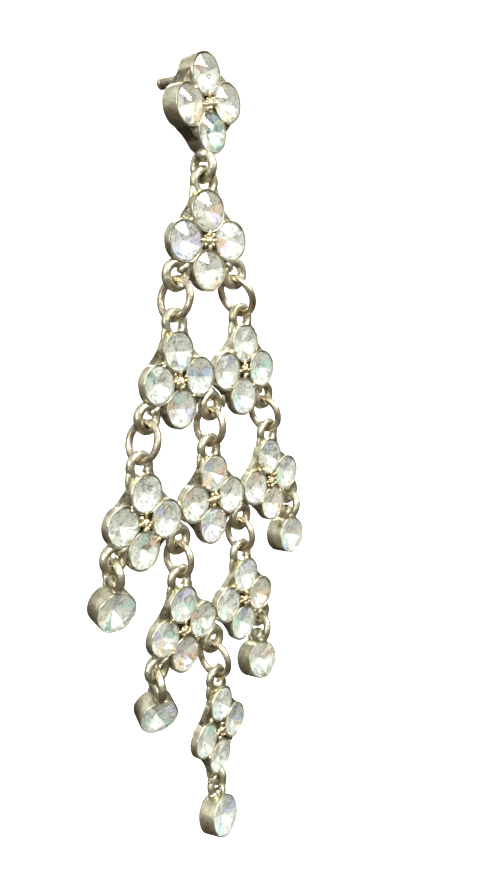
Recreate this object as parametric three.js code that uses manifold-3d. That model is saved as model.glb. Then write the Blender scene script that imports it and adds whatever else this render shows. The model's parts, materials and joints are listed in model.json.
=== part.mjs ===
// A chandelier earring: five rows of round stones in soldered cups, hung from a stud by round links, with
// five single-stone drops. Millimetres. X runs along the rows, +Y points back through the ear and Z is up.
// The origin is on the post's axis, where the post leaves the back of the stud.
import * as THREE from "three";
import { mergeVertices } from "three/addons/utils/BufferGeometryUtils.js";
import Module from "manifold-3d";

const wasm = await Module();
wasm.setup();

// Cups by where they sit. `reach` and `rise` are from a cluster's centre to its side cups and to its top and
// bottom ones, and `hollow` is how deep the pocket for the stone goes.
const rowCup = { radius: 2.36, pocket: 2.2, stone: 2.06, depth: 1.15, hollow: 0.9, reach: 3.25, rise: 3.25 };
const lastCup = { ...rowCup, rise: 3.7 };
const studCup = { radius: 2.25, pocket: 2.08, stone: 1.96, depth: 2.2, hollow: 1.15, reach: 3, rise: 3 };
const dropCup = { radius: 2.46, pocket: 2.2, stone: 2.06, depth: 2.6, hollow: 1.15 };
const lowestCup = { radius: 2.66, pocket: 2.38, stone: 2.24, depth: 2.6, hollow: 1.15 };
const rimY = -2.2; // the plane of every cluster's rims
const pocketFloorRadius = 0.35;
const pocketOpening = 1; // how far the cutter runs out past the rim
const girdleHeight = 0.16;
const girdleSunk = 0.06; // how far the girdle's top sits below the rim
const crownHeight = 0.66;
const tableShare = 0.34; // of the stone's radius
const stoneGap = 0.05; // clearance between a stone and its pocket
const cupSides = 12;
const stoneSides = 8;

// What joins four cups into a cluster, and clusters into a row.
const clusterPitch = 11.21; // centre to centre of neighbouring clusters in a row
const plateLobeRadius = 1.9;
const plateSteps = 2; // straight steps round each lobe of the plate
const plateSunk = 0.45; // how far the plate's front stops behind the rims
const boss = { radius: 0.55, sunk: 0.35 };
const seam = { radius: 0.85, sunk: 0.3 }; // solder between the touching cups of two clusters

// Wire loops soldered to the settings and the jump rings between them; radii are to the middle of the wire.
const loopY = -1.4;
const topLoop = { radius: 1.35, wire: 0.52 };
const bottomLoop = { radius: 1.35, wire: 0.54 };
const linkWire = 0.42;
const wireGap = 0.05; // clearance where two wires hook
const wireSides = 6;
const loopSteps = 10;
const linkSteps = 14;
const middleLoopDrop = 3.65; // a middle loop's centre below its row's centre
const neckRadius = 0.65; // solder between a top loop and its cup
const endWeb = { radius: 0.6, reach: 1.75 }; // solder from an end loop towards its cluster's centre
const seamWeb = { radius: 0.85, reach: 1.85 }; // and from a middle loop up to the seam above it

// The stud, and the rows from the top down. `topWire` is a top loop's highest wire above the row's centre,
// `turn` swivels the row about Z and `tips` tilt its clusters in their plane, in degrees.
const stud = { x: 0.4, z: -2.85, tip: 8 };
const rows = [
  { name: "row_1", z: -17.32, topWire: 7.75, shift: 0, turn: -8, tips: [0] },
  { name: "row_2", z: -32.53, topWire: 7.75, shift: 0.4, turn: 0, tips: [2, -3] },
  { name: "row_3", z: -47.62, topWire: 7.75, shift: 0, turn: 0, tips: [-6, -3, 6] },
  { name: "row_4", z: -62.54, topWire: 7.75, shift: 0, turn: 0, tips: [1, -5] },
  { name: "row_5", z: -79.2, topWire: 8.75, shift: 0.5, turn: 8, tips: [-4] },
];
const clusterNames = { 1: [""], 2: ["_left", "_right"], 3: ["_left", "_middle", "_right"] };

// The loop at each end of a row: `inset` is inward of half a cluster past the last one, and `drop` is below
// the row's centre.
const endLoops = {
  row_1: { left: { inset: 1.4, drop: 3.65 }, right: { inset: 1.4, drop: 3.65 } },
  row_2: { left: { inset: 1, drop: 3.65 }, right: { inset: 1.4, drop: 3.65 } },
  row_3: { left: { inset: 1.4, drop: 3.14 }, right: { inset: 1.1, drop: 2.54 } },
  row_4: { left: { inset: 1.5, drop: 3.72 }, right: { inset: 1.8, drop: 3.52 } },
};
const lastLoop = { shift: -0.3, drop: 6.35 }; // the edge-on loop under the last row

// Single-stone drops, each with a wire bail on its cup. `hang` is from the bail's top wire to the cup's
// centre, and `turn`, `swing` and `lean` are the drop's angles in degrees about Z, X and Y at its hook.
const bail = { wire: 0.5, sunk: 0.1 };
const solderDepth = 0.3; // on each side of the pocket's floor, under a drop's stone
const dropPoses = {
  drop_3_left: { cup: dropCup, hang: 5.75, turn: -13, swing: 9, lean: 1 },
  drop_3_right: { cup: dropCup, hang: 5.75, turn: -1, swing: -5, lean: 12 },
  drop_4_left: { cup: dropCup, hang: 6.3, turn: -23, swing: 15, lean: -2 },
  drop_4_right: { cup: dropCup, hang: 5.8, turn: -6, swing: -12, lean: 17 },
  drop_5: { cup: lowestCup, hang: 5.15, turn: 8, swing: -10, lean: 12, isFlat: true },
};

// The post behind the stud, as radius and distance behind the stud's back.
const postProfile = [
  { radius: 1.35, back: 0.05 },
  { radius: 0.85, back: 1.1 },
  { radius: 0.6, back: 2.2 },
  { radius: 0.6, back: 4.4 },
  { radius: 0.66, back: 4.7 },
  { radius: 0.45, back: 5.1 },
];
const postSides = 12;

const silver = () => new THREE.MeshStandardMaterial({ color: 0xbfb49a, roughness: 0.35, metalness: 1 });
const crystal = () => new THREE.MeshStandardMaterial({ color: 0xe8eeee, roughness: 0.05, metalness: 0 });

const earring = new THREE.Group();

// A closed geometry as a solid that can be joined and cut.
function solidOf(geometry) {
  const bare = geometry.clone();
  bare.deleteAttribute("normal");
  bare.deleteAttribute("uv");
  const merged = mergeVertices(bare, 1e-4);
  const triVerts = new Uint32Array(merged.index.array);
  const vertProperties = merged.attributes.position.array;
  return new wasm.Manifold(new wasm.Mesh({ numProp: 3, vertProperties, triVerts }));
}

function addSolid(name, solid, material) {
  const mesh = solid.getMesh();
  const geometry = new THREE.BufferGeometry();
  geometry.setAttribute("position", new THREE.BufferAttribute(mesh.vertProperties, 3));
  geometry.setIndex(new THREE.BufferAttribute(mesh.triVerts, 1));
  geometry.computeVertexNormals();
  const piece = new THREE.Mesh(geometry, material);
  piece.name = name;
  earring.add(piece);
}

const joined = (solids) => solids.reduce((whole, next) => whole.add(next));

// A turned solid whose axis runs along Y: each station has a radius and a y, from the front to the back.
function turned(stations, sides) {
  const profile = stations.map(({ radius, y }) => new THREE.Vector2(radius, y));
  return new THREE.LatheGeometry(profile, sides);
}

function disc(x, z, radius, frontY, backY, sides = cupSides) {
  const stations = [
    { radius: 0, y: frontY },
    { radius, y: frontY },
    { radius, y: backY },
    { radius: 0, y: backY },
  ];
  return solidOf(turned(stations, sides).translate(x, 0, z));
}

// The hollow for a stone: a straight wall at the rim and a cone below it.
function pocket(cup, x, z, frontY) {
  const stations = [
    { radius: 0, y: frontY - pocketOpening },
    { radius: cup.pocket, y: frontY - pocketOpening },
    { radius: cup.pocket, y: frontY + girdleSunk + girdleHeight + stoneGap },
    { radius: pocketFloorRadius, y: frontY + cup.hollow },
    { radius: 0, y: frontY + cup.hollow },
  ];
  return solidOf(turned(stations, cupSides).translate(x, 0, z));
}

function stone(cup, x, z, frontY) {
  const girdleTop = frontY + girdleSunk;
  const stations = [
    { radius: 0, y: girdleTop - crownHeight },
    { radius: cup.stone * tableShare, y: girdleTop - crownHeight },
    { radius: cup.stone, y: girdleTop },
    { radius: cup.stone, y: girdleTop + girdleHeight },
    { radius: 0, y: frontY + cup.hollow - stoneGap },
  ];
  return solidOf(turned(stations, stoneSides).translate(x, 0, z));
}

// A round wire ring. It lies in the plane of the rows, or edge-on to it when `edgeOn` is set, and `lean`
// tips it sideways about Y.
function ring({ x, y = loopY, z, radius, wire, steps, edgeOn = false, lean = 0 }) {
  const torus = new THREE.TorusGeometry(radius, wire, wireSides, steps);
  if (edgeOn) torus.rotateY(Math.PI / 2);
  else torus.rotateX(Math.PI / 2);
  return solidOf(torus.rotateY(lean).translate(x, y, z));
}

const loopAt = (loop, x, z, edgeOn = false) => ring({ x, z, ...loop, steps: loopSteps, edgeOn });

// The cup centres of a cluster that is tilted by `tip` degrees, seen from the front.
function cupPlaces({ x, z, tip }, { reach, rise }) {
  const angle = THREE.MathUtils.degToRad(tip);
  const place = (side, across, up) => ({
    side,
    x: x + across * Math.cos(angle) - up * Math.sin(angle),
    z: z + across * Math.sin(angle) + up * Math.cos(angle),
  });
  const sides = [place("right", reach, 0), place("left", -reach, 0)];
  return [...sides, place("top", 0, rise), place("bottom", 0, -rise)];
}

// The back plate: four round lobes joined by straight sides.
function plate({ x, z, tip }, cup, backY) {
  const outline = new THREE.Shape();
  for (let lobe = 0; lobe < 4; lobe++) {
    const facing = (lobe * Math.PI) / 2;
    const lobeX = cup.reach * Math.cos(facing);
    const lobeZ = cup.rise * Math.sin(facing);
    outline.absarc(lobeX, lobeZ, plateLobeRadius, facing - Math.PI / 4, facing + Math.PI / 4, false);
  }
  const slab = new THREE.ExtrudeGeometry(outline, {
    depth: cup.depth - plateSunk,
    bevelEnabled: false,
    curveSegments: plateSteps,
  });
  slab.rotateX(Math.PI / 2).rotateY(-THREE.MathUtils.degToRad(tip));
  return solidOf(slab.translate(x, backY, z));
}

// One cluster's metal, the pockets to cut from it and the stones that fill them.
function cluster(at, cup) {
  const places = cupPlaces(at, cup);
  const backY = rimY + cup.depth;
  const metal = joined([
    plate(at, cup, backY),
    ...places.map((place) => disc(place.x, place.z, cup.radius, rimY, backY)),
    disc(at.x, at.z, boss.radius, rimY + boss.sunk, backY, stoneSides),
  ]);
  const pockets = places.map((place) => pocket(cup, place.x, place.z, rimY));
  const stones = places.map(({ side, x, z }) => ({ side, solid: stone(cup, x, z, rimY) }));
  return { metal, pockets, stones };
}

// A whole setting with its stones; `turn` swivels it about the vertical line through its loops.
function addSetting({ name, clusters, loops, shift = 0, turn = 0 }) {
  const line = [shift, loopY, 0];
  const swivel = (solid) => solid.translate([-shift, -loopY, 0]).rotate([0, 0, turn]).translate(line);
  const metal = joined([...clusters.map((made) => made.metal), ...loops]);
  const pockets = joined(clusters.flatMap((made) => made.pockets));
  addSolid(`${name}_setting`, swivel(metal.subtract(pockets)), silver());
  clusters.forEach(({ stones }, i) => {
    for (const { side, solid } of stones) {
      addSolid(`${name}${clusterNames[clusters.length][i]}_stone_${side}`, swivel(solid), crystal());
    }
  });
}

// A short solder web from a bottom loop to what it hangs from.
function web(row, place) {
  const shape = place.isEnd ? endWeb : seamWeb;
  const xs = clusterXs(row);
  const rootX = place.isEnd ? (place.x < row.shift ? xs[0] : xs.at(-1)) : place.x;
  const towards = new THREE.Vector2(rootX - place.x, row.z - place.z).setLength(shape.reach);
  return solderDisc(place.x + towards.x, place.z + towards.y, shape.radius, bottomLoop.wire);
}

const solderDisc = (x, z, radius, half) => disc(x, z, radius, loopY - half, loopY + half, stoneSides);

const clusterXs = ({ tips, shift }) =>
  tips.map((_, i) => shift + (i - (tips.length - 1) / 2) * clusterPitch);

// The stud hooks the first row's top loop with an edge-on loop of its own.
function addStud() {
  const hook = rows[0].z + rows[0].topWire - 2 * topLoop.wire - wireGap;
  const loop = loopAt(topLoop, 0, hook + topLoop.radius, true);
  const neck = solderDisc(0, hook + 2 * topLoop.radius, neckRadius, topLoop.wire);
  addSetting({ name: "stud", clusters: [cluster(stud, studCup)], loops: [loop, neck] });
  const stations = postProfile.map(({ radius, back }) => ({ radius, y: back }));
  const ends = [stations[0], stations.at(-1)].map(({ y }) => ({ radius: 0, y }));
  addSolid("ear_post", solidOf(turned([ends[0], ...stations, ends[1]], postSides)), silver());
}

// The bottom loops of a row, from left to right: one past each end and one below each seam.
function bottomLoops(row) {
  const half = (row.tips.length * clusterPitch) / 2;
  const { left, right } = endLoops[row.name];
  const middles = row.tips.slice(1).map((_, i) => ({
    x: row.shift - half + (i + 1) * clusterPitch,
    z: row.z - middleLoopDrop,
    isEnd: false,
  }));
  return [
    { x: row.shift - half + left.inset, z: row.z - left.drop, isEnd: true },
    ...middles,
    { x: row.shift + half - right.inset, z: row.z - right.drop, isEnd: true },
  ];
}

function addRow(row) {
  const { z } = row;
  const isLast = row === rows.at(-1);
  const xs = clusterXs(row);
  const loops = xs.flatMap((x) => {
    const loopZ = z + row.topWire - topLoop.radius;
    return [loopAt(topLoop, x, loopZ), solderDisc(x, loopZ - topLoop.radius, neckRadius, topLoop.wire)];
  });
  if (isLast) loops.push(loopAt(topLoop, row.shift + lastLoop.shift, z - lastLoop.drop, true));
  else {
    for (const place of bottomLoops(row)) loops.push(loopAt(bottomLoop, place.x, place.z), web(row, place));
  }
  const backY = rimY + rowCup.depth;
  const solderSeam = (x) => disc(x - clusterPitch / 2, z, seam.radius, rimY + seam.sunk, backY);
  loops.push(...xs.slice(1).map(solderSeam));
  const clusters = xs.map((x, i) => cluster({ x, z, tip: row.tips[i] }, isLast ? lastCup : rowCup));
  addSetting({ ...row, clusters, loops });
}

// Where a place in the plane of a row comes to lie when the row is swivelled.
function swivelled(row, { x, z }) {
  const angle = THREE.MathUtils.degToRad(row.turn);
  const out = x - row.shift;
  return new THREE.Vector3(row.shift + out * Math.cos(angle), loopY + out * Math.sin(angle), z);
}

// A jump ring whose wire passes through `top` and `bottom`, at opposite ends of it.
function addLink(name, top, bottom) {
  const centre = top.clone().add(bottom).divideScalar(2);
  const solid = ring({
    x: centre.x,
    y: centre.y,
    z: centre.z,
    radius: top.distanceTo(bottom) / 2,
    wire: linkWire,
    steps: linkSteps,
    edgeOn: true,
    lean: Math.atan2(top.x - bottom.x, top.z - bottom.z),
  });
  addSolid(name, solid, silver());
}

// Rings from the bottom loops of each row to the top loops of the next.
function addLinks() {
  // how far a link's top is above a bottom loop's centre, and its bottom is below a top loop's highest wire
  const above = linkWire + wireGap + bottomLoop.wire - bottomLoop.radius;
  const below = linkWire + wireGap + topLoop.wire;
  rows.slice(0, -1).forEach((row, i) => {
    const next = rows[i + 1];
    const places = bottomLoops(row);
    const hooks = next.tips.length > row.tips.length ? places : places.filter((place) => !place.isEnd);
    const names = clusterNames[next.tips.length];
    clusterXs(next).forEach((x, j) => {
      const top = swivelled(row, { x: hooks[j].x, z: hooks[j].z + above });
      const bottom = swivelled(next, { x, z: next.z + next.topWire - below });
      addLink(`link_${i + 1}_to_${i + 2}${names[j]}`, top, bottom);
    });
  });
}

// A drop under a loop: its bail is edge-on, or in the plane of the rows if it `isFlat`.
function addDrop(name, loop, { x, y = loopY, z }) {
  const { cup, hang, turn, swing, lean, isFlat = false } = dropPoses[name];
  const frontY = -cup.depth / 2;
  const radius = (hang - cup.radius + bail.sunk) / 2;
  const wire = ring({ x: 0, y: 0, z: -radius, radius, wire: bail.wire, steps: linkSteps, edgeOn: !isFlat });
  const body = disc(0, -hang, cup.radius, frontY, frontY + cup.depth);
  const shell = body.subtract(pocket(cup, 0, -hang, frontY));
  const floor = frontY + cup.hollow;
  const solder = disc(0, -hang, pocketFloorRadius, floor - solderDepth, floor + solderDepth, stoneSides);
  const drop = joined([wire, shell, solder, stone(cup, 0, -hang, frontY)]);
  const hung = drop.rotate([0, lean, 0]).rotate([swing, 0, 0]).rotate([0, 0, turn]);
  addSolid(name, hung.translate([x, y, z - loop.radius + loop.wire + bail.wire + wireGap]), silver());
}

function addDrops() {
  const [, , third, fourth, fifth] = rows;
  for (const [row, number] of [[third, 3], [fourth, 4]]) {
    const places = bottomLoops(row);
    addDrop(`drop_${number}_left`, bottomLoop, places[0]);
    addDrop(`drop_${number}_right`, bottomLoop, places.at(-1));
  }
  const lowest = { x: fifth.shift + lastLoop.shift, z: fifth.z - lastLoop.drop };
  addDrop("drop_5", topLoop, swivelled(fifth, lowest));
}

addStud();
rows.forEach(addRow);
addLinks();
addDrops();

export default earring;
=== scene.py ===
import json
import math
import random

import bmesh
import bpy
from mathutils import Matrix, Vector, noise
from mathutils.bvhtree import BVHTree


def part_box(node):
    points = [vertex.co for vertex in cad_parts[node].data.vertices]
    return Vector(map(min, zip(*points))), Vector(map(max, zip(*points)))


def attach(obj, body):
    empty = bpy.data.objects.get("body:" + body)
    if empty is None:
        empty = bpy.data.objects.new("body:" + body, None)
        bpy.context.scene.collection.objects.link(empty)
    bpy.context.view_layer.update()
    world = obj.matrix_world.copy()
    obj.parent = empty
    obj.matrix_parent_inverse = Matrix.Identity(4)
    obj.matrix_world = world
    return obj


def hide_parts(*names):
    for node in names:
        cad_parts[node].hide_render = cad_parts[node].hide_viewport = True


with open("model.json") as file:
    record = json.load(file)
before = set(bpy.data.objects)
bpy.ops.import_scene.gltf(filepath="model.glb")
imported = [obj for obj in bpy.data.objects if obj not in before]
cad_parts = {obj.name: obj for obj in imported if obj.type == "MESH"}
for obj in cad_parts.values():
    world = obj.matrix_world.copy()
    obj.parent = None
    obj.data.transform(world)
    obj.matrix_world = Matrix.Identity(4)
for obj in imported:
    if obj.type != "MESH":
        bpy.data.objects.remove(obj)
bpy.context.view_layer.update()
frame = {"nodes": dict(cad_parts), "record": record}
mm = 0.001  # the pieces are shaped in millimetres and brought to metres when finished


def nodeBox(node):
    low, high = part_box(node)
    return low / mm, high / mm


def nodeCentre(node):
    low, high = nodeBox(node)
    return (low + high) / 2


settingNames = sorted(name for name in frame["nodes"] if name.endswith("_setting"))
stoneNames = sorted(name for name in frame["nodes"] if "_stone_" in name)
linkNames = sorted(name for name in frame["nodes"] if name.startswith("link_"))
dropNames = sorted(name for name in frame["nodes"] if name.startswith("drop_"))
bodyOf = {node: body for body, nodes in frame["record"]["behaviour"]["bodies"].items() for node in nodes}
rimY = -2.2  # the plane of the cups' rims
loopY = -1.4  # the plane of the rows' loops


def clustersOf(setting):
    # the stones' own boxes say where each cluster's cups are, and how far it is tipped and turned
    groups = {}
    for name in stoneNames:
        if name.startswith(setting[: -len("_setting")]):
            group, side = name.split("_stone_")
            groups.setdefault(group, {})[side] = nodeCentre(name)
    clusters = []
    for group, places in groups.items():
        centre = sum(places.values(), Vector()) / len(places)
        across = places["right"] - places["left"]
        clusters.append({
            "name": group,
            "centre": centre,
            "reach": across.length / 2,
            "rise": (places["top"] - places["bottom"]).length / 2,
            "turn": math.atan2(across.y, across.x),
            "tip": math.atan2(across.z, math.hypot(across.x, across.y)),
        })
    return sorted(clusters, key=lambda cluster: cluster["centre"].x)


def rowMatrix(clusters):
    # a row's own frame stands on the vertical line through its loops
    turn = clusters[0]["turn"]
    middle = (clusters[0]["centre"] + clusters[-1]["centre"]) / 2
    lineX = middle.x + (middle.y - loopY) * math.tan(turn)
    return Matrix.Translation((lineX, loopY, middle.z)) @ Matrix.Rotation(turn, 4, "Z")


def clusterMatrix(toRow, cluster):
    # a cluster's own frame has its origin in the middle of the rims, with Y pointing back
    place = toRow.inverted() @ cluster["centre"]
    toRim = Matrix.Translation((place.x, rimY - loopY, place.z))
    return toRow @ toRim @ Matrix.Rotation(-cluster["tip"], 4, "Y")


camera = {
    "place": (-67.43, -63.72, -19.61),
    "azimuth": -50.3,
    "down": 13.02,
    "roll": -0.41,
    "lens": 31.92,
    "sensor": 36,
    "nearest": 0.005,
    "farthest": 10,
}


def makeCamera():
    data = bpy.data.cameras.new("camera")
    data.lens = camera["lens"]
    data.sensor_width = camera["sensor"]
    data.clip_start = camera["nearest"]
    data.clip_end = camera["farthest"]
    made = bpy.data.objects.new("camera", data)
    turn = Matrix.Rotation(math.radians(camera["azimuth"]), 4, "Z")
    tip = Matrix.Rotation(math.radians(90 - camera["down"]), 4, "X")
    roll = Matrix.Rotation(math.radians(camera["roll"]), 4, "Z")
    made.matrix_world = Matrix.Translation(Vector(camera["place"]) * mm) @ turn @ tip @ roll
    bpy.context.collection.objects.link(made)
    bpy.context.scene.camera = made


studio = {
    "floorHeight": -0.2,
    "radius": 0.55,
    "wallHeight": 0.6,
    "curve": 0.2,
    "curveSteps": 8,
    "steps": 64,
    "paleness": 0.92,
    "roughness": 0.9,
    "glow": 0.55,
}


def makeBackdrop():
    # one bowl: a flat floor that curves up into a wall all round
    bm = bmesh.new()
    points = [(0, 0)]
    edge = studio["radius"] - studio["curve"]
    for step in range(studio["curveSteps"] + 1):
        angle = math.radians(90 * step / studio["curveSteps"])
        points.append((edge + studio["curve"] * math.sin(angle), studio["curve"] * (1 - math.cos(angle))))
    points.append((studio["radius"], studio["wallHeight"]))
    verts = [bm.verts.new((x, 0, z + studio["floorHeight"])) for x, z in points]
    edges = [bm.edges.new(pair) for pair in zip(verts, verts[1:])]
    bmesh.ops.spin(
        bm, geom=verts + edges, cent=(0, 0, 0), axis=(0, 0, 1), angle=math.tau, steps=studio["steps"],
        use_merge=True,
    )
    bmesh.ops.remove_doubles(bm, verts=bm.verts, dist=1e-5)
    bmesh.ops.recalc_face_normals(bm, faces=bm.faces)
    mesh = bpy.data.meshes.new("floor")
    bm.to_mesh(mesh)
    bm.free()
    mesh.polygons.foreach_set("use_smooth", [True] * len(mesh.polygons))
    floor = bpy.data.objects.new("floor", mesh)
    bpy.context.collection.objects.link(floor)
    material = bpy.data.materials.new("paleFloor")
    material.use_nodes = True
    shader = material.node_tree.nodes["Principled BSDF"]
    shader.inputs["Base Color"].default_value = (studio["paleness"],) * 3 + (1,)
    shader.inputs["Roughness"].default_value = studio["roughness"]
    shader.inputs["Emission Color"].default_value = (1, 1, 1, 1)
    shader.inputs["Emission Strength"].default_value = studio["glow"]
    mesh.materials.append(material)
    # the studio's own light reaches the metal and the stones past the backdrop
    floor.visible_glossy = False
    floor.visible_transmission = False
    floor.visible_shadow = False
    floor.visible_diffuse = False


lights = [
    {"name": "keyLight", "place": (0.05, -0.30, 0.25), "size": 0.22, "power": 3.0, "tint": (1, 0.98, 0.94)},
    {"name": "sideLight", "place": (-0.35, -0.10, 0.10), "size": 0.12, "power": 0.6, "tint": (0.96, 0.98, 1)},
    {"name": "rimLight", "place": (0.25, 0.25, 0.20), "size": 0.20, "power": 1.2, "tint": (1, 0.97, 0.92)},
]

lightTarget = (0, 0, -0.045)

sky = {
    "tones": [  # height: 0 straight down, 1 straight up
        {"height": 0.0, "tone": (0.20, 0.16, 0.13)},
        {"height": 0.36, "tone": (0.30, 0.27, 0.235)},
        {"height": 0.52, "tone": (0.56, 0.55, 0.52)},
        {"height": 0.72, "tone": (1.25, 1.26, 1.22)},
    ],
    "farSide": (0.70, 0.66, -0.26),
    "farFrom": -0.15,
    "farTo": 0.75,
    "farShade": 0.22,
}


def addRange(nodes, fromMin, fromMax, toMin=0, toMax=1):
    made = nodes.new("ShaderNodeMapRange")
    made.inputs["From Min"].default_value = fromMin
    made.inputs["From Max"].default_value = fromMax
    made.inputs["To Min"].default_value = toMin
    made.inputs["To Max"].default_value = toMax
    return made


def makeLights():
    for entry in lights:
        data = bpy.data.lights.new(entry["name"], "AREA")
        data.shape = "DISK"
        data.size = entry["size"]
        data.energy = entry["power"]
        data.color = entry["tint"]
        made = bpy.data.objects.new(entry["name"], data)
        place = Vector(entry["place"])
        aim = Vector(lightTarget) - place
        made.matrix_world = Matrix.Translation(place) @ aim.to_track_quat("-Z", "Y").to_matrix().to_4x4()
        bpy.context.collection.objects.link(made)
    world = bpy.data.worlds.new("studioSky")
    bpy.context.scene.world = world
    world.use_nodes = True
    nodes, links = world.node_tree.nodes, world.node_tree.links
    background = nodes["Background"]
    coordinate = nodes.new("ShaderNodeTexCoord")
    parts = nodes.new("ShaderNodeSeparateXYZ")
    spread = addRange(nodes, -1, 1)
    ramp = nodes.new("ShaderNodeValToRGB")
    while len(ramp.color_ramp.elements) < len(sky["tones"]):
        ramp.color_ramp.elements.new(0.5)
    for element, entry in zip(ramp.color_ramp.elements, sky["tones"]):
        element.position = entry["height"]
        element.color = (*entry["tone"], 1)
    links.new(coordinate.outputs["Generated"], parts.inputs["Vector"])
    links.new(parts.outputs["Z"], spread.inputs["Value"])
    links.new(spread.outputs["Result"], ramp.inputs["Fac"])
    links.new(ramp.outputs["Color"], background.inputs["Color"])
    facing = nodes.new("ShaderNodeVectorMath")  # the far side is dim, so every edge gets a dark line
    facing.operation = "DOT_PRODUCT"
    facing.inputs[1].default_value = sky["farSide"]
    dim = addRange(nodes, sky["farFrom"], sky["farTo"], 1, sky["farShade"])
    links.new(coordinate.outputs["Generated"], facing.inputs[0])
    links.new(facing.outputs["Value"], dim.inputs["Value"])
    links.new(dim.outputs["Result"], background.inputs["Strength"])
    bpy.context.scene.view_settings.view_transform = "Standard"


makeCamera()
makeBackdrop()
makeLights()
print("camera, backdrop and light are in place")


def newGroup(name, inputs, outputs):
    group = bpy.data.node_groups.new(name, "ShaderNodeTree")
    for label, kind in inputs:
        group.interface.new_socket(name=label, in_out="INPUT", socket_type=kind)
    for label, kind in outputs:
        group.interface.new_socket(name=label, in_out="OUTPUT", socket_type=kind)
    return group, group.nodes.new("NodeGroupInput"), group.nodes.new("NodeGroupOutput")


def addNoise(nodes, scale, detail):
    made = nodes.new("ShaderNodeTexNoise")
    made.inputs["Scale"].default_value = scale
    made.inputs["Detail"].default_value = detail
    return made


def addMath(nodes, links, operation, *terms):
    # each term is a number or the socket that it comes from
    made = nodes.new("ShaderNodeMath")
    made.operation = operation
    for socket, term in zip(made.inputs, terms):
        if isinstance(term, bpy.types.NodeSocket):
            links.new(term, socket)
        else:
            socket.default_value = term
    return made.outputs["Value"]


def mixColors(nodes, links, factor, first, second):
    made = nodes.new("ShaderNodeMix")
    made.data_type = "RGBA"
    for label, source in (("Factor", factor), ("A", first), ("B", second)):
        links.new(source, made.inputs[label])
    return made.outputs["Result"]


wearAndShade = {  # noise scales are for a place given in millimetres
    "patchScale": 0.8, "patchDetail": 5, "patchRoughness": 0.62, "patchFrom": 0.38, "patchTo": 0.62,
    "fineScale": 3.6, "fineDetail": 4, "grainScale": 2.4, "grainDetail": 3, "grainStrength": 0.6,
    "breakUp": 0.5, "shadeAndDirtFrom": 0.86, "shadeAndDirtTo": 1.36, "fineDulling": 0.18, "hollowDulling": 0.28,
}


def makeWornAndShadedPlating():
    # pale plating over a browner metal: tarnish sits in patches, and every hollow gets painted shade and dirt
    # from the cavity mask
    color, value, vector = "NodeSocketColor", "NodeSocketFloat", "NodeSocketVector"
    group, given, made = newGroup(
        "wornAndShadedPlating",
        [("Place", vector), ("Cavity", value), ("Plating", color), ("Tarnish", color), ("Shadeanddirt", color),
         ("Patches", value), ("Shine", value)],
        [("Color", color), ("Roughness", value), ("Height", value)],
    )
    nodes, links, source = group.nodes, group.links, given.outputs
    patches = addNoise(nodes, wearAndShade["patchScale"], wearAndShade["patchDetail"])
    patches.inputs["Roughness"].default_value = wearAndShade["patchRoughness"]
    fine = addNoise(nodes, wearAndShade["fineScale"], wearAndShade["fineDetail"])
    grain = addNoise(nodes, wearAndShade["grainScale"], wearAndShade["grainDetail"])
    for texture in (patches, fine, grain):
        links.new(source["Place"], texture.inputs["Vector"])
    spread = addRange(nodes, wearAndShade["patchFrom"], wearAndShade["patchTo"])
    links.new(patches.outputs["Fac"], spread.inputs["Value"])
    amount = addMath(nodes, links, "MULTIPLY", spread.outputs["Result"], source["Patches"])
    plated = mixColors(nodes, links, amount, source["Plating"], source["Tarnish"])
    # fine noise breaks up the edge of the painted shade and dirt in the hollows
    hollow = addMath(nodes, links, "MULTIPLY_ADD", fine.outputs["Fac"], wearAndShade["breakUp"], source["Cavity"])
    shadeanddirt = addRange(nodes, wearAndShade["shadeAndDirtFrom"], wearAndShade["shadeAndDirtTo"])
    links.new(hollow, shadeanddirt.inputs["Value"])
    shadedAndDirty = mixColors(nodes, links, shadeanddirt.outputs["Result"], plated, source["Shadeanddirt"])
    rough = addMath(nodes, links, "MULTIPLY_ADD", fine.outputs["Fac"], wearAndShade["fineDulling"], source["Shine"])
    dulled = addMath(nodes, links, "MULTIPLY_ADD", shadeanddirt.outputs["Result"], wearAndShade["hollowDulling"], rough)
    links.new(shadedAndDirty, made.inputs["Color"])
    links.new(dulled, made.inputs["Roughness"])
    links.new(grain.outputs["Fac"], made.inputs["Height"])
    return group


wornAndShadedPlating = makeWornAndShadedPlating()

# the darkest colour of each metal is painted shade and dirt for its hollows
metalFinishes = {
    "castMetal": {
        "plating": (0.70, 0.68, 0.52), "tarnish": (0.36, 0.32, 0.20), "shadeanddirt": (0.05, 0.034, 0.018),
        "patches": 0.85, "shine": 0.22, "bump": 0.12,
    },
    "linkMetal": {
        "plating": (0.66, 0.60, 0.47), "tarnish": (0.33, 0.25, 0.17), "shadeanddirt": (0.06, 0.038, 0.024),
        "patches": 1.0, "shine": 0.24, "bump": 0.08,
    },
    "goldSolder": {
        "plating": (0.78, 0.70, 0.46), "tarnish": (0.46, 0.35, 0.17), "shadeanddirt": (0.07, 0.038, 0.02),
        "patches": 0.8, "shine": 0.24, "bump": 0.14,
    },
}


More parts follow.
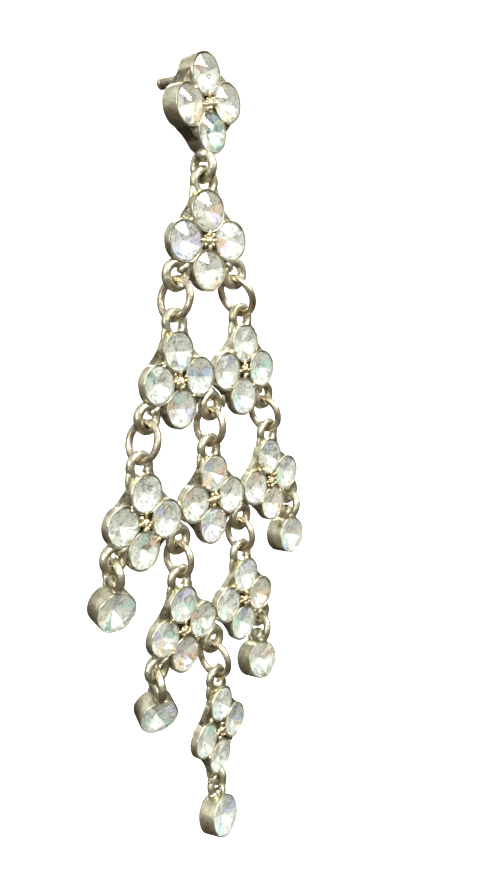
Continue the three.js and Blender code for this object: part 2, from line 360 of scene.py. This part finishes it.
def makeMetal(name):
    finish = metalFinishes[name]
    material = bpy.data.materials.new(name)
    material.use_nodes = True
    nodes, links = material.node_tree.nodes, material.node_tree.links
    shader = nodes["Principled BSDF"]
    shader.inputs["Metallic"].default_value = 1
    coordinate = nodes.new("ShaderNodeTexCoord")
    place = nodes.new("ShaderNodeMapping")
    place.inputs["Scale"].default_value = (1 / mm,) * 3  # the group's noise is set in millimetres
    # the cavity mask darkens the hollows with painted shade and dirt
    cavity = nodes.new("ShaderNodeAttribute")
    cavity.attribute_name = "cavity"
    plating = nodes.new("ShaderNodeGroup")
    plating.node_tree = wornAndShadedPlating
    bump = nodes.new("ShaderNodeBump")
    bump.inputs["Strength"].default_value = wearAndShade["grainStrength"]
    bump.inputs["Distance"].default_value = finish["bump"] * mm
    links.new(coordinate.outputs["Object"], place.inputs["Vector"])
    links.new(place.outputs["Vector"], plating.inputs["Place"])
    links.new(cavity.outputs["Fac"], plating.inputs["Cavity"])
    for label in ("plating", "tarnish", "shadeanddirt"):
        plating.inputs[label.capitalize()].default_value = (*finish[label], 1)
    plating.inputs["Patches"].default_value = finish["patches"]
    plating.inputs["Shine"].default_value = finish["shine"]
    links.new(plating.outputs["Color"], shader.inputs["Base Color"])
    links.new(plating.outputs["Roughness"], shader.inputs["Roughness"])
    links.new(plating.outputs["Height"], bump.inputs["Height"])
    links.new(bump.outputs["Normal"], shader.inputs["Normal"])
    return material


crystal = {"color": (0.97, 1.0, 0.985), "ior": 1.42, "roughness": 0.015}
foil = {
    "color": (0.95, 0.99, 0.955), "roughness": 0.2, "metallic": 0.3, "glintScale": 1.5, "glintDetail": 2,
    "glintDistortion": 1.6, "glintFrom": 0.34, "glintTo": 0.52, "glintLow": 0.5, "glintHigh": 1.15,
}


def makeCrystal():
    material = bpy.data.materials.new("crystal")
    material.use_nodes = True
    shader = material.node_tree.nodes["Principled BSDF"]
    shader.inputs["Base Color"].default_value = (*crystal["color"], 1)
    shader.inputs["Roughness"].default_value = crystal["roughness"]
    shader.inputs["IOR"].default_value = crystal["ior"]
    shader.inputs["Transmission Weight"].default_value = 1
    return material


def makeFoil():
    # bright foil behind the stone; each facet's colour holds painted light and shade by its height and painted
    # colour flashes, and the noise below paints glints into it
    material = bpy.data.materials.new("foil")
    material.use_nodes = True
    nodes, links = material.node_tree.nodes, material.node_tree.links
    shader = nodes["Principled BSDF"]
    shader.inputs["Metallic"].default_value = foil["metallic"]
    shader.inputs["Roughness"].default_value = foil["roughness"]
    tone = nodes.new("ShaderNodeAttribute")
    tone.attribute_name = "facetLightAndShade"
    coordinate = nodes.new("ShaderNodeTexCoord")
    glints = addNoise(nodes, foil["glintScale"] / mm, foil["glintDetail"])  # broken reflections
    glints.inputs["Distortion"].default_value = foil["glintDistortion"]
    strength = addRange(nodes, foil["glintFrom"], foil["glintTo"], foil["glintLow"], foil["glintHigh"])
    varied = nodes.new("ShaderNodeVectorMath")
    varied.operation = "SCALE"
    links.new(coordinate.outputs["Object"], glints.inputs["Vector"])
    links.new(glints.outputs["Fac"], strength.inputs["Value"])
    links.new(tone.outputs["Color"], varied.inputs[0])
    links.new(strength.outputs["Result"], varied.inputs["Scale"])
    links.new(varied.outputs["Vector"], shader.inputs["Base Color"])
    return material


castMetal = makeMetal("castMetal")
linkMetal = makeMetal("linkMetal")
goldSolder = makeMetal("goldSolder")
crystalMaterial = makeCrystal()
foilMaterial = makeFoil()
print("materials are made")


def spinProfile(bm, points, centre, axis, steps):
    # points are (radius, distance along the axis) and the profile is closed by the axis
    axis = Vector(axis).normalized()
    side = axis.orthogonal().normalized()
    verts = [bm.verts.new(Vector(centre) + side * radius + axis * along) for radius, along in points]
    edges = [bm.edges.new(pair) for pair in zip(verts, verts[1:])]
    bmesh.ops.spin(bm, geom=verts + edges, cent=centre, axis=axis, angle=math.tau, steps=steps, use_merge=True)


def addWire(bm, centre, axis, radius, wire, steps=40, sides=14, lean=0):
    axis = Vector(axis).normalized()
    if lean:
        axis = Matrix.Rotation(lean, 3, "Y") @ axis
    side = axis.orthogonal().normalized()
    start = Vector(centre) + side * radius
    toSection = Matrix.Translation(start) @ side.cross(axis).to_track_quat("Z", "Y").to_matrix().to_4x4()
    circle = bmesh.ops.create_circle(bm, segments=sides, radius=wire, matrix=toSection)["verts"]
    edges = list({edge for vert in circle for edge in vert.link_edges})
    bmesh.ops.spin(bm, geom=circle + edges, cent=centre, axis=axis, angle=math.tau, steps=steps, use_merge=True)


def addBead(bm, centre, size, toward=(0, 0, 1), detail=(16, 10)):
    place = Matrix.Translation(centre) @ Vector(toward).to_track_quat("Z", "Y").to_matrix().to_4x4()
    scale = Matrix.Diagonal((*size, 1))
    bmesh.ops.create_uvsphere(bm, u_segments=detail[0], v_segments=detail[1], radius=1, matrix=place @ scale)


surface = {  # in mm; waves and ripples are the two sizes of a cast surface's unevenness
    "merge": 1e-4, "waves": 0.9, "ripples": 2.9, "rippleShare": 0.4, "sharpAngle": 38,
    "cavityRays": 14, "cavityLift": 0.03,
}
relief = {  # cavityReach: how near the metal has to be to shade a hollow; wobble: height of the waves
    "setting": {"cavityReach": 2.0, "wobble": 0.05},
    "solder": {"cavityReach": 1.2, "wobble": 0.06},
    "link": {"cavityReach": 1.5, "wobble": 0.03},
    "drop": {"cavityReach": 2.0, "wobble": 0.045},
    "post": {"cavityReach": 1.0, "wobble": 0.01},
}


def addCavity(mesh, reach, seed):
    # how hidden each vertex is by its own piece, from 0 in the open to 1 in a crevice; the metal paints shade
    # and dirt into its hollows from it
    tree = BVHTree.FromPolygons([v.co for v in mesh.vertices], [list(p.vertices) for p in mesh.polygons])
    draw = random.Random(seed)
    directions = [
        Vector((draw.gauss(0, 1), draw.gauss(0, 1), draw.gauss(0, 1))).normalized()
        for _ in range(surface["cavityRays"])
    ]
    values = []
    for vert in mesh.vertices:
        normal = vert.normal
        start = vert.co + normal * surface["cavityLift"]
        hits = 0
        for direction in directions:
            ray = direction if direction.dot(normal) > 0 else -direction
            hits += tree.ray_cast(start, ray, reach)[0] is not None
        values.append(hits / len(directions))
    attribute = mesh.attributes.new("cavity", "FLOAT", "POINT")
    attribute.data.foreach_set("value", values)


def finishPiece(bm, name, materials, node, worn=None):
    # worn is the name of a relief: metal has one and is shaded smooth, a cut stone has none
    bmesh.ops.remove_doubles(bm, verts=bm.verts, dist=surface["merge"])
    if worn:
        wobble = relief[worn]["wobble"]
        for vert in bm.verts:
            waves = noise.noise_vector(vert.co * surface["waves"]) * wobble
            ripples = noise.noise_vector(vert.co * surface["ripples"]) * wobble * surface["rippleShare"]
            vert.co += waves + ripples
    bmesh.ops.recalc_face_normals(bm, faces=bm.faces)
    mesh = bpy.data.meshes.new(name)
    bm.to_mesh(mesh)
    bm.free()
    if worn:
        addCavity(mesh, relief[worn]["cavityReach"], len(name))
    mesh.transform(Matrix.Scale(mm, 4))
    for material in materials:
        mesh.materials.append(material)
    if worn:
        mesh.polygons.foreach_set("use_smooth", [True] * len(mesh.polygons))
        mesh.set_sharp_from_angle(angle=math.radians(surface["sharpAngle"]))
    piece = bpy.data.objects.new(name, mesh)
    bpy.context.collection.objects.link(piece)
    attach(piece, bodyOf[node])
    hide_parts(node)


def placeNew(bm, before, matrix):
    # brings what was added since `before` was taken to its place
    bmesh.ops.transform(bm, matrix=matrix, verts=[vert for vert in bm.verts if vert not in before])


cup = {
    "wall": 0.14, "lip": 0.06, "baseRound": 0.25, "roundSteps": 4, "seatDepth": 0.3, "floorRadius": 0.3,
    "steps": 40,
}
cupShapes = {  # pocket: the hollow under the stone; sag: of the solder between cups; deepen: the stone's back
    "stud": {"radius": 2.25, "depth": 2.2, "pocket": 1.3, "sag": 0.28, "deepen": 1.3},
    "row": {"radius": 2.35, "depth": 1.15, "pocket": 1.0, "sag": 0.35, "deepen": 1.0},
    "drop": {"radius": 2.46, "depth": 2.6, "pocket": 1.4, "deepen": 1.4},
    "lowestDrop": {"radius": 2.66, "depth": 2.6, "pocket": 1.4, "deepen": 1.4},
}
plate = {"lobeRadius": 1.55, "steps": 64, "thinnest": 0.12, "deepest": 1.5}
notchWeb = {"sunk": 0.2, "inside": 0.08, "steps": 7, "across": 6, "dip": 0.2}
boss = {
    "radius": 0.55, "sunk": 0.15, "clawLength": 0.5, "clawVary": (0.8, 1.15), "clawReach": 0.8,
    "clawWidth": 0.22, "clawRise": 0.02, "clawTurn": 8,
    "grains": 16, "grainSize": (0.14, 0.28), "grainSpread": 0.75, "grainDepth": 0.3,
}
notch = {"reach": 0.62, "sunk": 0.28, "grains": 4, "grainSize": (0.16, 0.32), "scatter": 0.42, "flatness": 0.4}
quarters = ((1, 1), (1, -1), (-1, 1), (-1, -1))  # the signs of X and Z


def addCup(bm, shape):
    # a turned cup about the Y axis: its rim is at 0 and its back at the shape's depth
    radius, depth, lip = shape["radius"], shape["depth"], cup["lip"]
    inner = radius - cup["wall"]
    points = [(0, depth), (radius - cup["baseRound"], depth)]
    for step in range(1, cup["roundSteps"] + 1):
        angle = math.radians(90 * step / cup["roundSteps"])
        points.append((
            radius - cup["baseRound"] * (1 - math.sin(angle)),
            depth - cup["baseRound"] * (1 - math.cos(angle)),
        ))
    points += [  # over the rounded lip and down into the pocket
        (radius, lip * 2), (radius - lip * 0.4, lip * 0.5), (radius - lip, 0), (inner + lip * 0.6, 0.01),
        (inner, lip), (inner, cup["seatDepth"]), (cup["floorRadius"], shape["pocket"]), (0, shape["pocket"]),
    ]
    spinProfile(bm, points, Vector(), Vector((0, 1, 0)), cup["steps"])


def addPlate(bm, cluster, depth):
    # the back slab: a circle pulled out to four lobes and given its thickness
    flat = Matrix.Translation((0, depth, 0)) @ Matrix.Rotation(math.pi / 2, 4, "X")
    made = bmesh.ops.create_circle(
        bm, cap_ends=True, segments=plate["steps"], radius=plate["lobeRadius"], matrix=flat
    )
    for vert in made["verts"]:
        if abs(vert.co.x) > abs(vert.co.z):
            vert.co.x += math.copysign(cluster["reach"], vert.co.x)
        else:
            vert.co.z += math.copysign(cluster["rise"], vert.co.z)
    faces = list({face for vert in made["verts"] for face in vert.link_faces})
    grown = bmesh.ops.extrude_face_region(bm, geom=faces)["geom"]
    front = [item for item in grown if isinstance(item, bmesh.types.BMVert)]
    frontY = min(depth - plate["thinnest"], plate["deepest"])
    bmesh.ops.translate(bm, verts=front, vec=(0, frontY - depth, 0))


def addNotchWebs(bm, cluster, shape):
    # solder that fills the outer notch between two neighbouring cups, almost up to their rims
    hold = shape["radius"] - notchWeb["inside"]
    steps, across = notchWeb["steps"], notchWeb["across"]
    for signX, signZ in quarters:
        side = Vector((signX * cluster["reach"], 0, 0))
        tall = Vector((0, 0, signZ * cluster["rise"]))
        along = (tall - side).normalized()
        outward = Vector((signX * abs(along.z), 0, signZ * abs(along.x)))
        grid = []
        for step in range(steps):  # from the outer edge in to where the cups touch
            angle = math.pi / 2 * step / (steps - 1)
            start = side + (outward * math.cos(angle) + along * math.sin(angle)) * hold
            end = tall + (outward * math.cos(angle) - along * math.sin(angle)) * hold
            line = []
            for part in range(across + 1):
                bulge = math.sin(math.pi * part / across)
                spot = start.lerp(end, part / across)
                spot -= outward * shape["sag"] * bulge * math.cos(angle) ** 2
                spot.y = notchWeb["sunk"] + notchWeb["dip"] * bulge * math.cos(angle)
                line.append(bm.verts.new(spot))
            grid.append(line)
        faces = [
            bm.faces.new((near[part], near[part + 1], far[part + 1], far[part]))
            for near, far in zip(grid, grid[1:]) for part in range(across)
        ]
        grown = bmesh.ops.extrude_face_region(bm, geom=faces, use_keep_orig=True)["geom"]
        for vert in {item for item in grown if isinstance(item, bmesh.types.BMVert)}:
            vert.co.y = shape["depth"]


def addBoss(bm, seed):
    # crumbly solder in the middle, with four claws over the nearest edges of the stones
    draw = random.Random(seed)
    addBead(bm, Vector((0, boss["sunk"], 0)), (boss["radius"],) * 3)
    for quarter in range(4):
        angle = 90 * quarter + draw.uniform(-boss["clawTurn"], boss["clawTurn"])
        along = Matrix.Rotation(math.radians(angle), 4, "Y") @ Vector((1, 0, 0))
        claw = along * boss["clawReach"] + Vector((0, -boss["clawRise"], 0))
        length = boss["clawLength"] * draw.uniform(*boss["clawVary"])
        addBead(bm, claw, (boss["clawWidth"], boss["clawWidth"], length), along, (10, 8))
    wide, deep = boss["grainSpread"], boss["grainDepth"]
    for _ in range(boss["grains"]):
        spot = Vector((draw.uniform(-wide, wide), draw.uniform(-deep, deep), draw.uniform(-wide, wide)))
        addBead(bm, spot, (draw.uniform(*boss["grainSize"]),) * 3, detail=(8, 6))


def addNotchBeads(bm, cluster, seed):
    # grains of solder on the webs in the outer notches
    draw = random.Random(seed)
    for signX, signZ in quarters:
        middle = Vector((signX * cluster["reach"], 0, signZ * cluster["rise"])) * notch["reach"]
        for _ in range(notch["grains"]):
            flat = notch["flatness"]
            scatter = Vector((draw.uniform(-1, 1), draw.uniform(-flat, flat), draw.uniform(-1, 1)))
            spot = middle + Vector((0, notch["sunk"], 0)) + scatter * notch["scatter"]
            addBead(bm, spot, (draw.uniform(*notch["grainSize"]),) * 3, detail=(8, 6))


def cupOffsets(cluster):
    # from a cluster's centre to its cups
    return {
        "right": Vector((cluster["reach"], 0, 0)), "left": Vector((-cluster["reach"], 0, 0)),
        "top": Vector((0, 0, cluster["rise"])), "bottom": Vector((0, 0, -cluster["rise"])),
    }


def addLoop(bm, x, z, shape, edgeOn=False):
    addWire(bm, Vector((x, 0, z)), (1, 0, 0) if edgeOn else (0, 1, 0), shape["radius"], shape["wire"])


topLoop = {"radius": 1.35, "wire": 0.52}
bottomLoop = {"radius": 1.35, "wire": 0.54}
middleLoopDrop = 3.65
endLoops = {  # inset: inward of half a cluster past the last one; drop: below the row's centre
    "row_1": {"left": {"inset": 1.4, "drop": 3.65}, "right": {"inset": 1.4, "drop": 3.65}},
    "row_2": {"left": {"inset": 1.0, "drop": 3.65}, "right": {"inset": 1.4, "drop": 3.65}},
    "row_3": {"left": {"inset": 1.4, "drop": 3.14}, "right": {"inset": 1.1, "drop": 2.54}},
    "row_4": {"left": {"inset": 1.5, "drop": 3.72}, "right": {"inset": 1.8, "drop": 3.52}},
}
lastLoop = {"shift": -0.3, "radius": 1.1, "wire": 0.48}
solder = {
    "shoulder": (0.4, 0.5, 1.4), "shoulderOut": 1.5, "shoulderDown": 2.3, "shoulderLean": 0.3,
    "web": (0.75, 0.55, 0.9), "seam": (0.55, 0.5, 1.15), "seamForward": 0.2, "seamFoot": (0.9, 0.55, 0.85),
    "edgeFoot": (0.8, 1.0, 0.8), "edgeFootPlace": (0, 0, 1.2),
    "lastFoot": (0.6, 0.6, 0.6), "lastFootPlace": (0, 0.3, 0.8),
}


def addRowLoops(bm, prefix, places, cluster, topZ):
    # places are the clusters' centres in the row's own frame
    for place in places:
        addLoop(bm, place.x, topZ - topLoop["radius"], topLoop)
        for side in (-1, 1):
            shoulder = Vector((place.x + side * solder["shoulderOut"], 0, topZ - solder["shoulderDown"]))
            lean = (side * solder["shoulderLean"], 0, -1)
            addBead(bm, shoulder, solder["shoulder"], lean, detail=(14, 12))
    if prefix not in endLoops:
        return
    half = (places[-1].x - places[0].x) / 2 + cluster["reach"] + cupShapes["row"]["radius"]
    for side, sign, outer in (("left", -1, places[0]), ("right", 1, places[-1])):
        shape = endLoops[prefix][side]
        loop = Vector((sign * (half - shape["inset"]), 0, -shape["drop"]))
        addLoop(bm, loop.x, loop.z, bottomLoop)
        towards = (Vector((outer.x, 0, outer.z)) - loop).normalized()
        addBead(bm, loop + towards * bottomLoop["radius"], solder["web"], towards)
    for left, right in zip(places, places[1:]):
        seamX = (left.x + right.x) / 2
        addLoop(bm, seamX, -middleLoopDrop, bottomLoop)
        addBead(bm, Vector((seamX, 0, bottomLoop["radius"] - middleLoopDrop)), solder["seamFoot"])
        addBead(bm, Vector((seamX, -solder["seamForward"], 0)), solder["seam"])


spur = {"row": "row_2", "place": (2.45, 0, -3.35), "size": (0.27, 0.3, 0.95), "toward": (0.08, 0, 1)}


def makeSetting(name):
    prefix = name[: -len("_setting")]
    low, high = nodeBox(name)
    clusters = clustersOf(name)
    toRow = rowMatrix(clusters)
    places = [toRow.inverted() @ cluster["centre"] for cluster in clusters]
    isStud = prefix == "stud"
    shape = cupShapes["stud" if isStud else "row"]
    bm = bmesh.new()
    gold = bmesh.new()
    for cluster in clusters:
        toPlace = clusterMatrix(toRow, cluster)
        before = set(bm.verts)
        addPlate(bm, cluster, shape["depth"])
        addNotchWebs(bm, cluster, shape)
        placeNew(bm, before, toPlace)
        for outward in cupOffsets(cluster).values():
            before = set(bm.verts)
            addCup(bm, shape)
            placeNew(bm, before, toPlace @ Matrix.Translation(outward))
        before = set(gold.verts)
        addBoss(gold, cluster["name"])
        addNotchBeads(gold, cluster, cluster["name"])
        placeNew(gold, before, toPlace)
    before = set(bm.verts)
    middle = toRow.translation
    if isStud:
        loop = Vector((-middle.x, 0, low.z + topLoop["wire"] + topLoop["radius"] - middle.z))
        addLoop(bm, loop.x, loop.z, topLoop, edgeOn=True)
        addBead(bm, loop + Vector(solder["edgeFootPlace"]), solder["edgeFoot"])
    elif prefix == "row_5":
        loop = Vector((lastLoop["shift"], 0, low.z + lastLoop["wire"] + lastLoop["radius"] - middle.z))
        addLoop(bm, loop.x, loop.z, lastLoop, edgeOn=True)
        addBead(bm, loop + Vector(solder["lastFootPlace"]), solder["lastFoot"])
    if not isStud:
        addRowLoops(bm, prefix, places, clusters[0], high.z - topLoop["wire"] - middle.z)
    if prefix == spur["row"]:
        addBead(bm, Vector(spur["place"]), spur["size"], spur["toward"])
    placeNew(bm, before, toRow)
    finishPiece(bm, prefix + "_metal", [castMetal], name, "setting")
    finishPiece(gold, prefix + "_solder", [goldSolder], name, "solder")


for settingName in settingNames:
    makeSetting(settingName)
    print("made", settingName)

stone = {
    "tableShare": 0.34, "tableHeight": 0.66, "girdle": 0.1, "sides": 8, "shoulderShare": 0.96,
    "shoulderDrop": 0.16, "culet": 0.86, "oversize": 0.05, "sunk": 0.08, "flatAngle": 1.5,
}
flashes = [(1.0, 0.74, 0.58), (0.72, 0.80, 1.0), (0.88, 0.78, 1.0), (0.76, 1.0, 0.90), (1.0, 0.88, 0.74)]
facets = {
    "shadedFacet": 0.62, "bright": 1.08, "shadedTint": (1.0, 0.95, 0.87), "brightTint": (1.0, 1.0, 0.99),
    "slope": 0.85, "vary": 0.16, "flashShare": 0.26, "oddShare": 0.16,
}


def paintFacetLight(draw, height):
    # painted light and shade: height runs from 0 for the highest facet, painted dull as if in shade, to 1 for
    # the lowest, painted bright because it looks up at the light; some facets are flipped and some get a
    # painted colour flash
    if draw.random() < facets["oddShare"]:
        height = 1 - height
    lit = max(0.0, min(1.0, height + draw.uniform(-facets["vary"], facets["vary"])))
    shade = facets["shadedFacet"] + (facets["bright"] - facets["shadedFacet"]) * lit
    tint = Vector(facets["shadedTint"]).lerp(Vector(facets["brightTint"]), lit)
    if draw.random() < facets["flashShare"]:
        tint = draw.choice(flashes)
    return (*(shade * part * base for part, base in zip(tint, foil["color"])), 1)


def makeStone(name, radius, node, toPlace, deepen):
    # rings of points from the table to the culet; their hull is the cut stone
    draw = random.Random(name)
    turn = draw.uniform(0, math.tau)
    bm = bmesh.new()
    half = math.pi / stone["sides"]
    rings = [
        (stone["tableShare"] * radius, -stone["tableHeight"], stone["sides"], half),
        (radius, -stone["girdle"] / 2, stone["sides"] * 2, 0),
        (radius, stone["girdle"] / 2, stone["sides"] * 2, 0),
        (stone["shoulderShare"] * radius, stone["shoulderDrop"], stone["sides"], 0),
    ]
    for ringRadius, y, sides, angle in rings:
        spin = Matrix.Rotation(turn + angle, 4, "Y") @ Matrix.Rotation(math.pi / 2, 4, "X")
        place = Matrix.Translation((0, y, 0)) @ spin
        bmesh.ops.create_circle(bm, segments=sides, radius=ringRadius, matrix=place)
    bm.verts.new((0, stone["culet"] * deepen, 0))
    hull = bmesh.ops.convex_hull(bm, input=bm.verts[:])
    inside = hull["geom_interior"] + hull["geom_unused"]
    spare = {item for item in inside if isinstance(item, bmesh.types.BMVert)}
    bmesh.ops.delete(bm, geom=list(spare), context="VERTS")
    flat = math.radians(stone["flatAngle"])
    bmesh.ops.dissolve_limit(bm, angle_limit=flat, verts=bm.verts[:], edges=bm.edges[:])
    tone = bm.loops.layers.float_color.new("facetLightAndShade")
    bmesh.ops.recalc_face_normals(bm, faces=bm.faces)
    for face in bm.faces:
        middle = face.calc_center_median()
        face.material_index = 1 if middle.y > stone["girdle"] * 0.45 else 0  # foil behind the girdle
        # the facet's colour is painted shade on the upper facets and painted light on the lower ones
        color = paintFacetLight(draw, 0.5 - middle.z / radius * facets["slope"])
        for loop in face.loops:
            loop[tone] = color
    bmesh.ops.transform(bm, matrix=toPlace @ Matrix.Translation((0, stone["sunk"], 0)), verts=bm.verts)
    finishPiece(bm, name, [crystalMaterial, foilMaterial], node)


for settingName in settingNames:
    clusters = clustersOf(settingName)
    toRow = rowMatrix(clusters)
    for cluster in clusters:
        for side, outward in cupOffsets(cluster).items():
            node = cluster["name"] + "_stone_" + side
            low, high = nodeBox(node)
            toPlace = clusterMatrix(toRow, cluster) @ Matrix.Translation(outward)
            shape = cupShapes["stud" if settingName == "stud_setting" else "row"]
            radius = (high.z - low.z) / 2 + stone["oversize"]
            makeStone(node + "_cut", radius, node, toPlace, shape["deepen"])
print("made", len(stoneNames), "stones")


link = {"wire": 0.42, "steps": 48, "sides": 16}


def makeLink(name):
    low, high = nodeBox(name)
    radius = (high.y - low.y) / 2 - link["wire"]
    # the ring leans from the loop above to the one below, and the name says which way
    lean = math.asin(max(-1, min(1, (high.x - low.x - 2 * link["wire"]) / (2 * radius))))
    if "left" in name:
        lean = abs(lean)
    if "right" in name or name.endswith("4_to_5"):
        lean = -abs(lean)
    bm = bmesh.new()
    addWire(bm, (low + high) / 2, (1, 0, 0), radius, link["wire"], link["steps"], link["sides"], lean)
    finishPiece(bm, name + "_ring", [linkMetal], name, "link")


for linkName in linkNames:
    makeLink(linkName)
print("made", len(linkNames), "links")


drop = {
    "wire": 0.5, "bailSunk": 0.1, "stoneGap": 0.03,
    "foot": (0.7, 0.7, 0.55), "footReach": 0.9, "footRise": 0.1,
    "moundWidth": 0.7, "moundTop": 1.75, "moundShare": 0.72, "moundSunk": 0.2,
}
dropPoses = {  # hang: from the bail's top wire to the cup's centre; degrees about Z, X and Y at the hook
    "drop_3_left": {"cup": "drop", "hang": 5.75, "turn": -13, "swing": 9, "lean": 1},
    "drop_3_right": {"cup": "drop", "hang": 5.75, "turn": -1, "swing": -5, "lean": 12},
    "drop_4_left": {"cup": "drop", "hang": 6.3, "turn": -23, "swing": 15, "lean": -2},
    "drop_4_right": {"cup": "drop", "hang": 5.8, "turn": -6, "swing": -12, "lean": 17},
    "drop_5": {"cup": "lowestDrop", "hang": 5.15, "turn": 8, "swing": -10, "lean": 12},
}


def dropMatrix(name):
    pose = dropPoses[name]
    turned = (
        Matrix.Rotation(math.radians(pose["turn"]), 4, "Z")
        @ Matrix.Rotation(math.radians(pose["swing"]), 4, "X")
        @ Matrix.Rotation(math.radians(pose["lean"]), 4, "Y")
    )
    mesh = frame["nodes"][name].data  # turned back, the node's own box gives the hook
    points = [turned.inverted() @ (vert.co / mm) for vert in mesh.vertices]
    low = Vector(min(point[axis] for point in points) for axis in range(3))
    high = Vector(max(point[axis] for point in points) for axis in range(3))
    isLowest = name == "drop_5"
    hookY = high.y - cupShapes[pose["cup"]]["depth"] / 2 if isLowest else (low.y + high.y) / 2
    return turned @ Matrix.Translation(((low.x + high.x) / 2, hookY, high.z - drop["wire"]))


crust = {"core": 0.7, "spread": 0.6, "grain": (0.3, 0.5), "grains": 9}
crusts = {  # in the drop's own frame: the origin at its hook, Z up
    "drop_5": {"place": (-1.5, -0.2, -0.25), "size": 0.6},
    "drop_4_right": {"place": (0.9, -1.15, -7.6), "size": 0.42},
}


def addCrust(bm, name):
    # a crumbly lump of solder
    draw = random.Random(name)
    centre, size = Vector(crusts[name]["place"]), crusts[name]["size"]
    addBead(bm, centre, (size * crust["core"],) * 3, detail=(12, 8))
    for _ in range(crust["grains"]):
        scatter = Vector((draw.uniform(-1, 1), draw.uniform(-1, 1), draw.uniform(-1, 1)))
        grain = draw.uniform(*crust["grain"]) * size
        addBead(bm, centre + scatter * size * crust["spread"], (grain,) * 3, detail=(8, 6))


def makeDrop(name):
    pose = dropPoses[name]
    shape = cupShapes[pose["cup"]]
    toPlace = dropMatrix(name)
    isLowest = name == "drop_5"  # its bail lies in the plane of the rows
    bail = (pose["hang"] - shape["radius"] + drop["bailSunk"]) / 2
    bm = bmesh.new()
    addWire(bm, Vector((0, 0, -bail)), (0, 1, 0) if isLowest else (1, 0, 0), bail, drop["wire"])
    before = set(bm.verts)
    addCup(bm, shape)
    toRim = Matrix.Translation((0, -shape["depth"] / 2, -pose["hang"]))
    placeNew(bm, before, toRim)
    cupTop = shape["radius"] - pose["hang"]
    for side in (-1, 1):
        foot = Vector((0, side * drop["footReach"], cupTop + drop["footRise"]))
        if isLowest:
            foot.x, foot.y = foot.y, 0
        addBead(bm, foot, drop["foot"], detail=(14, 8))
    tall = (-cupTop - drop["moundTop"]) / 2 + drop["moundSunk"]
    mound = Vector((drop["moundWidth"], bail * drop["moundShare"], tall))
    if isLowest:
        mound.x, mound.y = mound.y, mound.x
    addBead(bm, Vector((0, 0, -drop["moundTop"] - mound.z)), mound, detail=(18, 12))
    if name in crusts:
        addCrust(bm, name)
    bmesh.ops.transform(bm, matrix=toPlace, verts=bm.verts)
    finishPiece(bm, name + "_metal", [castMetal], name, "drop")
    radius = shape["radius"] - cup["wall"] - drop["stoneGap"]
    makeStone(name + "_stone", radius, name, toPlace @ toRim, shape["deepen"])


for dropName in dropNames:
    makeDrop(dropName)
print("made", len(dropNames), "drops")


post = {
    "flange": 1.35,
    "stem": [(1.25, 0.35), (0.85, 1.1), (0.66, 1.8), (0.6, 2.4)],  # radius, distance behind the origin
    # the nib's list gives radius and distance before the tip
    "nib": [(0.6, 0.8), (0.5, 0.65), (0.5, 0.55), (0.64, 0.4), (0.62, 0.2), (0.45, 0)],
    "steps": 32,
}


def makePost():
    low, high = nodeBox("ear_post")
    centre = Vector(((low.x + high.x) / 2, 0, (low.z + high.z) / 2))
    points = [(0, low.y), (post["flange"], low.y), *post["stem"]]
    points += [(radius, high.y - before) for radius, before in post["nib"]] + [(0, high.y)]
    bm = bmesh.new()
    spinProfile(bm, points, centre, Vector((0, 1, 0)), post["steps"])
    finishPiece(bm, "ear_post_pin", [linkMetal], "ear_post", "post")


makePost()
print("made the post")
